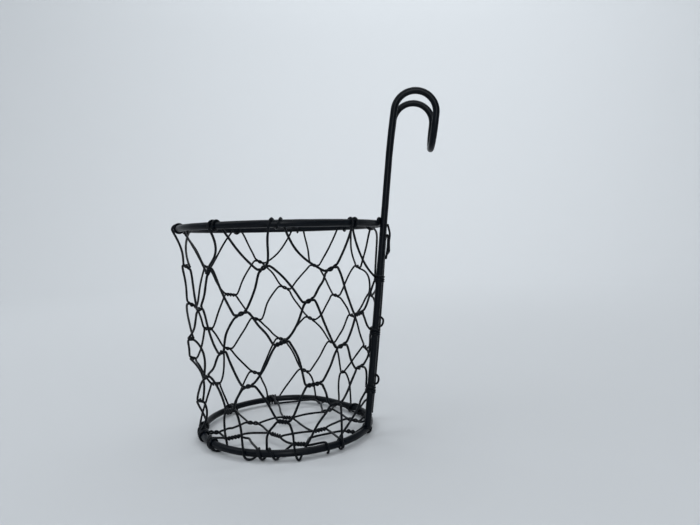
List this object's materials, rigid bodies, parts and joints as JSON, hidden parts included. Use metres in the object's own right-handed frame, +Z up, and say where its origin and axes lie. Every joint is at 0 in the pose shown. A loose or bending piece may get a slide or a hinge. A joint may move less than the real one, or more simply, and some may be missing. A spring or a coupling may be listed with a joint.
{
  "type": "hanging wire basket",
  "caption": "Small tapered basket of hand-twisted hexagonal wire net between heavy wire rings, with a tall hook bent from one doubled-back wire that hangs it over a rail.",
  "frame": {"origin": "centre of the bounding box in plan, at the height of the lowest wraps of net wire that the basket stands on", "axes": "+Z up through the open top of the bowl; +X towards the hook, whose nose points to +X and then down; +Y to the side, across the hook's pair of legs. The bowl's own axis is parallel to +Z at x = -0.0129, y = -0.0002"},
  "size_m": [0.129, 0.1028, 0.1625],
  "materials": {
    "heavy_wire": "satin black paint on round steel wire",
    "net_wire": "satin black paint, thicker at the twists",
    "weld": "satin black paint over a small weld fillet"
  },
  "bodies": {
    "root": {"top_ring": "heavy_wire", "bottom_ring": "heavy_wire", "hanger_wire": "heavy_wire", "side_net_wire_1": "net_wire", "side_net_wire_2": "net_wire", "side_net_wire_3": "net_wire", "side_net_wire_4": "net_wire", "side_net_wire_5": "net_wire", "side_net_wire_6": "net_wire", "floor_net_wire_1": "net_wire", "floor_net_wire_2": "net_wire", "floor_net_wire_3": "net_wire", "floor_net_wire_4": "net_wire", "floor_net_wire_5": "net_wire", "floor_net_wire_6": "net_wire", "weld_top_front": "weld", "weld_top_back": "weld", "weld_bottom_front": "weld", "weld_bottom_back": "weld"}
  },
  "joints": []
}
